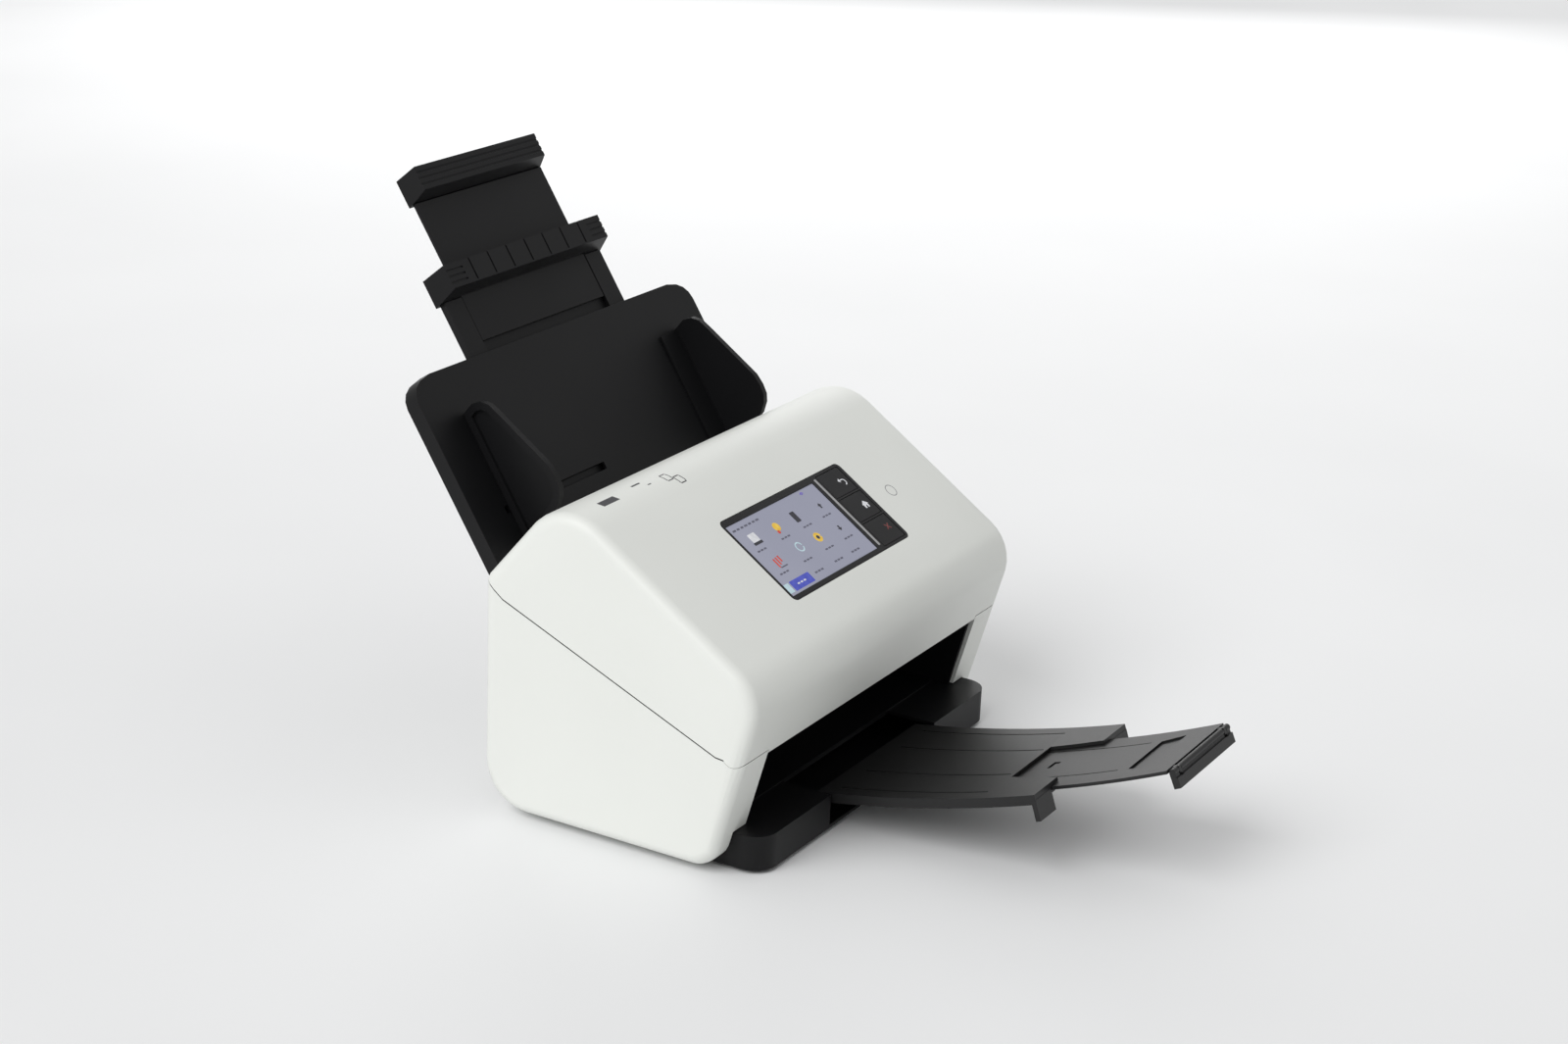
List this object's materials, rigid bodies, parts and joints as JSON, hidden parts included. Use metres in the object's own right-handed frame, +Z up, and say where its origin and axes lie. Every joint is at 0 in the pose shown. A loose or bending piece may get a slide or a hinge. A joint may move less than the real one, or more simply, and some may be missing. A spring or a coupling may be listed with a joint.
{
  "type": "sheet fed document scanner",
  "caption": "Desktop sheet fed document scanner with hinged front cover, touch panel, sliding side guides, extending document support and output tray.",
  "frame": {"origin": "middle of the bounding box in X and Y, on the desk under the rubber feet", "axes": "+X to the right seen from the front, the front with the control panel and output tray faces -Y, +Z up"},
  "size_m": [0.299, 0.493, 0.3326],
  "materials": {
    "shell_white": "fine satin texture",
    "black_plastic": "satin",
    "dark_plastic": "fine matte texture",
    "gloss_black": "polished",
    "screen": "lit display under clear cover",
    "clear_glass": "polished",
    "sensor_black": "satin",
    "steel": "ground",
    "bracket_steel": "zinc plated",
    "motor_steel": "satin",
    "roller_rubber": "matt",
    "feet_rubber": "matt",
    "belt_rubber": "matt",
    "nylon_white": "smooth",
    "brass_pinion": "turned",
    "circuit_green": "solder resist",
    "socket_metal": "plated"
  },
  "bodies": {
    "chassis": {"base_frame": "black_plastic", "rubber_feet": "feet_rubber", "case_screws": "steel", "left_side_cover": "shell_white", "right_side_cover": "shell_white", "rear_cover": "shell_white", "lower_scan_frame": "black_plastic", "lower_glass": "clear_glass", "lower_image_sensor": "sensor_black", "drive_belt": "belt_rubber", "drive_motor": "motor_steel", "motor_bracket": "bracket_steel", "main_board": "circuit_green", "dc_jack": "black_plastic", "usb_port": "socket_metal", "lan_port": "socket_metal", "hinge_brackets": "bracket_steel", "chute_bed": "black_plastic", "chute_back_cover": "black_plastic"},
    "cover": {"front_cover": "shell_white", "upper_scan_frame": "black_plastic", "upper_glass": "clear_glass", "upper_image_sensor": "sensor_black", "panel_bezel": "gloss_black", "display_module": "screen", "panel_board": "circuit_green"},
    "back_key": {"back_key": "gloss_black"},
    "home_key": {"home_key": "gloss_black"},
    "cancel_key": {"cancel_key": "gloss_black"},
    "separation_roller": {"separation_shaft": "steel", "separation_tyre": "roller_rubber"},
    "feed_pinch": {"feed_pinch_roller": "nylon_white"},
    "exit_pinch": {"exit_pinch_roller": "nylon_white"},
    "pick_roller": {"pick_shaft": "steel", "pick_tyres": "roller_rubber", "pick_pulley": "nylon_white"},
    "feed_roller": {"feed_shaft": "steel", "feed_tyres": "roller_rubber", "feed_pulley": "nylon_white"},
    "exit_roller": {"exit_shaft": "steel", "exit_tyres": "roller_rubber", "exit_pulley": "nylon_white"},
    "motor_rotor": {"motor_pulley": "brass_pinion", "motor_shaft": "steel"},
    "left_guide": {"left_guide": "black_plastic"},
    "right_guide": {"right_guide": "black_plastic"},
    "guide_pinion": {"guide_pinion": "nylon_white"},
    "support_lower": {"support_lower": "black_plastic"},
    "support_upper": {"support_upper": "black_plastic"},
    "exit_tray": {"exit_tray": "dark_plastic"},
    "tray_extension": {"tray_extension": "dark_plastic"},
    "tray_stopper": {"tray_stopper": "dark_plastic"},
    "sensor_flag": {"paper_sensor_flag": "black_plastic"}
  },
  "joints": [
    {"name": "cover_hinge", "type": "hinge", "parent": "chassis", "child": "cover", "pos_m": [0, -0.04033, 0.075], "axis": [1, 0, 0], "range_deg": [0, 60]},
    {"name": "feed_spin", "type": "hinge", "parent": "chassis", "child": "feed_roller", "pos_m": [0, 0.0655, 0.10099], "axis": [1, 0, 0], "continuous": true},
    {"name": "pick_spin", "type": "hinge", "parent": "chassis", "child": "pick_roller", "pos_m": [0, 0.09213, 0.10989], "axis": [1, 0, 0], "continuous": true},
    {"name": "exit_spin", "type": "hinge", "parent": "chassis", "child": "exit_roller", "pos_m": [0, -0.00838, 0.0703], "axis": [1, 0, 0], "continuous": true},
    {"name": "motor_spin", "type": "hinge", "parent": "chassis", "child": "motor_rotor", "pos_m": [-0.12, 0.05085, 0.05284], "axis": [1, 0, 0], "continuous": true},
    {"name": "separation_spin", "type": "hinge", "parent": "cover", "child": "separation_roller", "pos_m": [0, 0.08395, 0.12956], "axis": [1, 0, 0], "continuous": true},
    {"name": "feed_pinch_spin", "type": "hinge", "parent": "cover", "child": "feed_pinch", "pos_m": [0, 0.05963, 0.11512], "axis": [1, 0, 0], "continuous": true},
    {"name": "exit_pinch_spin", "type": "hinge", "parent": "cover", "child": "exit_pinch", "pos_m": [0, -0.01425, 0.08443], "axis": [1, 0, 0], "continuous": true},
    {"name": "left_guide_slide", "type": "slide", "parent": "chassis", "child": "left_guide", "axis": [1, 0, 0], "range_m": [0, 0.078]},
    {"name": "right_guide_slide", "type": "slide", "parent": "chassis", "child": "right_guide", "axis": [1, 0, 0], "range_m": [-0.078, 0]},
    {"name": "guide_pinion_spin", "type": "hinge", "parent": "chassis", "child": "guide_pinion", "pos_m": [0, 0.13099, 0.15259], "axis": [0, 0.8339, -0.5519], "range_deg": [-5, 565]},
    {"name": "support_lower_slide", "type": "slide", "parent": "chassis", "child": "support_lower", "axis": [0, 0.5519, 0.8339], "range_m": [-0.033, 0]},
    {"name": "support_upper_slide", "type": "slide", "parent": "support_lower", "child": "support_upper", "axis": [0, 0.5519, 0.8339], "range_m": [-0.039, 0]},
    {"name": "exit_tray_slide", "type": "hinge", "parent": "chassis", "child": "exit_tray", "pos_m": [0, 0.08067, 0.7675], "axis": [1, 0, 0], "range_deg": [0, 8.6]},
    {"name": "tray_extension_slide", "type": "hinge", "parent": "exit_tray", "child": "tray_extension", "pos_m": [0, 0.08067, 0.7675], "axis": [1, 0, 0], "range_deg": [0, 4.8]},
    {"name": "tray_stopper_flip", "type": "hinge", "parent": "tray_extension", "child": "tray_stopper", "pos_m": [0, -0.24076, 0.07727], "axis": [1, 0, 0], "range_deg": [-150, 0]},
    {"name": "sensor_flag_swing", "type": "hinge", "parent": "chassis", "child": "sensor_flag", "pos_m": [0.042, 0.10284, 0.11667], "axis": [1, 0, 0], "range_deg": [0, 20], "stiffness_Nm_per_rad": 0.0005, "springref_deg": -11.46},
    {"name": "back_key_press", "type": "slide", "parent": "cover", "child": "back_key", "axis": [0, 0.5548, -0.832], "range_m": [0, 0.0008], "stiffness_N_per_m": 500, "springref_m": -0.0005},
    {"name": "home_key_press", "type": "slide", "parent": "cover", "child": "home_key", "axis": [0, 0.5548, -0.832], "range_m": [0, 0.0008], "stiffness_N_per_m": 500, "springref_m": -0.0005},
    {"name": "cancel_key_press", "type": "slide", "parent": "cover", "child": "cancel_key", "axis": [0, 0.5548, -0.832], "range_m": [0, 0.0008], "stiffness_N_per_m": 500, "springref_m": -0.0005}
  ],
  "couplings": [
    {"joint": "pick_spin", "follows": "feed_spin", "ratio": 1},
    {"joint": "exit_spin", "follows": "feed_spin", "ratio": 1},
    {"joint": "motor_spin", "follows": "feed_spin", "ratio": 1.6},
    {"joint": "separation_spin", "follows": "feed_spin", "ratio": -1.1},
    {"joint": "feed_pinch_spin", "follows": "feed_spin", "ratio": -1.5},
    {"joint": "exit_pinch_spin", "follows": "feed_spin", "ratio": -1.5},
    {"joint": "right_guide_slide", "follows": "left_guide_slide", "ratio": -1},
    {"joint": "guide_pinion_spin", "follows": "left_guide_slide", "rad_per_m": 125}
  ]
}
